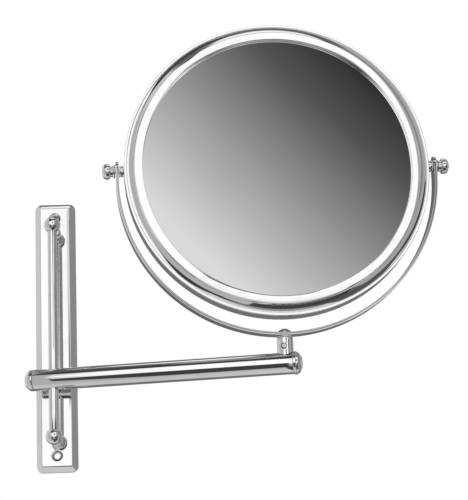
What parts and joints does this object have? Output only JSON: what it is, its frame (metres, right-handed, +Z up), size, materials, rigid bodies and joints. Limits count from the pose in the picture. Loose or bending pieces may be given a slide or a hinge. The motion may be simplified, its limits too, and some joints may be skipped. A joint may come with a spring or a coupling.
{
  "type": "extendable shaving mirror",
  "caption": "Wall-mounted round double-sided shaving mirror tilting in a U-shaped yoke, on a tubular arm that slides along and swings round an upright guide rod.",
  "frame": {"origin": "centre of the backing strip's rear face, on the wall plane", "axes": "+Z up along the wall, +Y into the wall, +X to the right as the user looks at the wall; the front faces -Y"},
  "size_m": [0.3078, 0.0889, 0.3129],
  "materials": {
    "chrome_plate": "polished chrome on pressed sheet",
    "chrome_turned": "polished chrome on turned metal",
    "chrome_tube": "polished chrome on drawn tube",
    "chrome_band": "polished chrome on bent flat band",
    "chrome_rim": "polished chrome on rolled sheet",
    "mirror_glass": "silvered polished glass",
    "plain_steel": "zinc-plated",
    "zinc_casting": "as-cast grey metal",
    "nylon": "moulded natural nylon",
    "fibreboard": "pressed board"
  },
  "bodies": {
    "wall_bracket": {"wall_plate": "chrome_plate", "backing_strip": "zinc_casting", "top_ball": "chrome_turned", "bottom_ball": "chrome_turned", "top_stem": "chrome_turned", "bottom_stem": "chrome_turned", "top_stem_screw": "plain_steel", "bottom_stem_screw": "plain_steel", "guide_rod": "chrome_turned"},
    "slider": {"friction_sleeve": "nylon"},
    "arm": {"arm_tube": "chrome_tube", "tension_cap": "chrome_turned", "tension_spring": "plain_steel", "friction_plunger": "nylon", "end_cap": "chrome_turned", "swivel_post": "chrome_turned", "post_set_screw": "plain_steel", "post_anchor_nut": "plain_steel", "swivel_screw": "chrome_turned"},
    "yoke_frame": {"yoke": "chrome_band", "lower_swivel_washer": "nylon", "upper_swivel_washer": "plain_steel"},
    "mirror_head": {"mirror_hoop": "chrome_rim", "front_rim": "chrome_rim", "rear_rim": "chrome_rim", "front_glass": "mirror_glass", "rear_glass": "mirror_glass", "spacer_disc": "fibreboard", "left_pivot_boss": "chrome_turned", "left_inner_washer": "nylon", "left_outer_washer": "plain_steel", "left_pivot_stud": "plain_steel", "left_knob": "chrome_turned", "right_pivot_boss": "chrome_turned", "right_inner_washer": "nylon", "right_outer_washer": "plain_steel", "right_pivot_stud": "plain_steel", "right_knob": "chrome_turned"}
  },
  "joints": [
    {"name": "height_slide", "type": "slide", "parent": "wall_bracket", "child": "slider", "axis": [0, 0, 1], "range_m": [-0.026, 0.099]},
    {"name": "arm_swing", "type": "hinge", "parent": "slider", "child": "arm", "pos_m": [0, -0.032, -0.0365], "axis": [0, 0, -1], "range_deg": [-14, 166]},
    {"name": "yoke_swivel", "type": "hinge", "parent": "arm", "child": "yoke_frame", "pos_m": [0.16301, -0.07264, -0.0365], "axis": [0, 0, 1], "continuous": true},
    {"name": "mirror_tilt", "type": "hinge", "parent": "yoke_frame", "child": "mirror_head", "pos_m": [0.16301, -0.07264, 0.1035], "axis": [0.9997, 0.0262, 0], "continuous": true}
  ]
}
